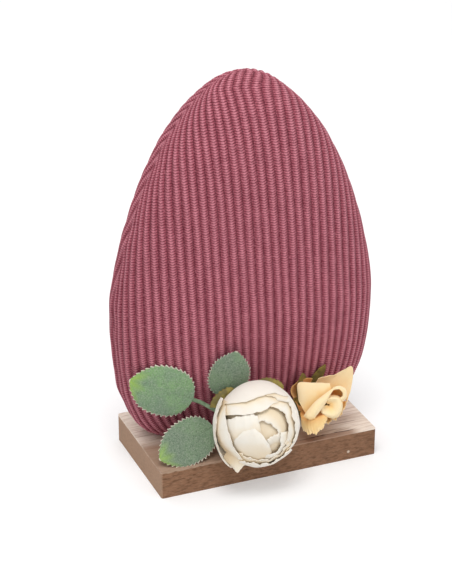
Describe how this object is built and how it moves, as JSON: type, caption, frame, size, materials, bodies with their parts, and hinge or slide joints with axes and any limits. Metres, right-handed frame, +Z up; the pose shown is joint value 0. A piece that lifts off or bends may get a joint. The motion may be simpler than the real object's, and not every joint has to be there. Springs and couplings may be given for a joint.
{
  "type": "decorative egg on stand",
  "caption": "Flattened fabric egg in ribbed dusty-rose knit on a veneered wooden board, trimmed with white and yellow artificial roses and flocked leaves.",
  "frame": {"origin": "centre of the board's underside, on the surface that the ornament stands on", "axes": "+Z up, +X to the viewer's right along the board's long front edge, front towards -Y"},
  "size_m": [0.148, 0.0936, 0.2155],
  "materials": {
    "fibreboard": "brown fine-fibred board edge, matt",
    "veneer": "pale straight-grained veneer, untreated",
    "beech": "smooth turned dowel",
    "foam": "expanded polystyrene",
    "knit": "dusty-rose ribbed knit of soft yarn",
    "white_petal": "pressed ivory petal cloth with a beige shade inside",
    "yellow_petal": "pressed peach-yellow petal cloth",
    "sepal": "moulded olive-brown calyx",
    "leaf": "flocked grey-green leaf with a pale toothed rim",
    "stem": "moulded green stem",
    "glue": "set hot-melt glue"
  },
  "bodies": {
    "root": {"base_board": "fibreboard", "board_top_veneer": "veneer", "dowel_left": "beech", "dowel_right": "beech", "egg_foam_core": "foam", "knit_cover_front": "knit", "knit_cover_back": "knit", "glue_pad_white_rose": "glue", "glue_pad_yellow_rose": "glue", "white_rose_petal_01": "white_petal", "white_rose_petal_02": "white_petal", "white_rose_petal_03": "white_petal", "white_rose_petal_04": "white_petal", "white_rose_petal_05": "white_petal", "white_rose_petal_06": "white_petal", "white_rose_petal_07": "white_petal", "white_rose_petal_08": "white_petal", "white_rose_petal_09": "white_petal", "white_rose_petal_10": "white_petal", "white_rose_petal_11": "white_petal", "white_rose_petal_12": "white_petal", "white_rose_petal_13": "white_petal", "white_rose_petal_14": "white_petal", "white_rose_petal_15": "white_petal", "white_rose_bud": "white_petal", "white_rose_calyx": "sepal", "white_rose_stem": "stem", "yellow_rose_petal_1": "yellow_petal", "yellow_rose_petal_2": "yellow_petal", "yellow_rose_petal_3": "yellow_petal", "yellow_rose_petal_4": "yellow_petal", "yellow_rose_petal_5": "yellow_petal", "yellow_rose_petal_6": "yellow_petal", "yellow_rose_petal_7": "yellow_petal", "yellow_rose_petal_8": "yellow_petal", "yellow_rose_bud": "yellow_petal", "yellow_rose_calyx": "sepal", "yellow_rose_stem": "stem", "leaf_left": "leaf", "leaf_upper": "leaf", "leaf_lower": "leaf", "leaf_stalk": "stem"}
  },
  "joints": []
}
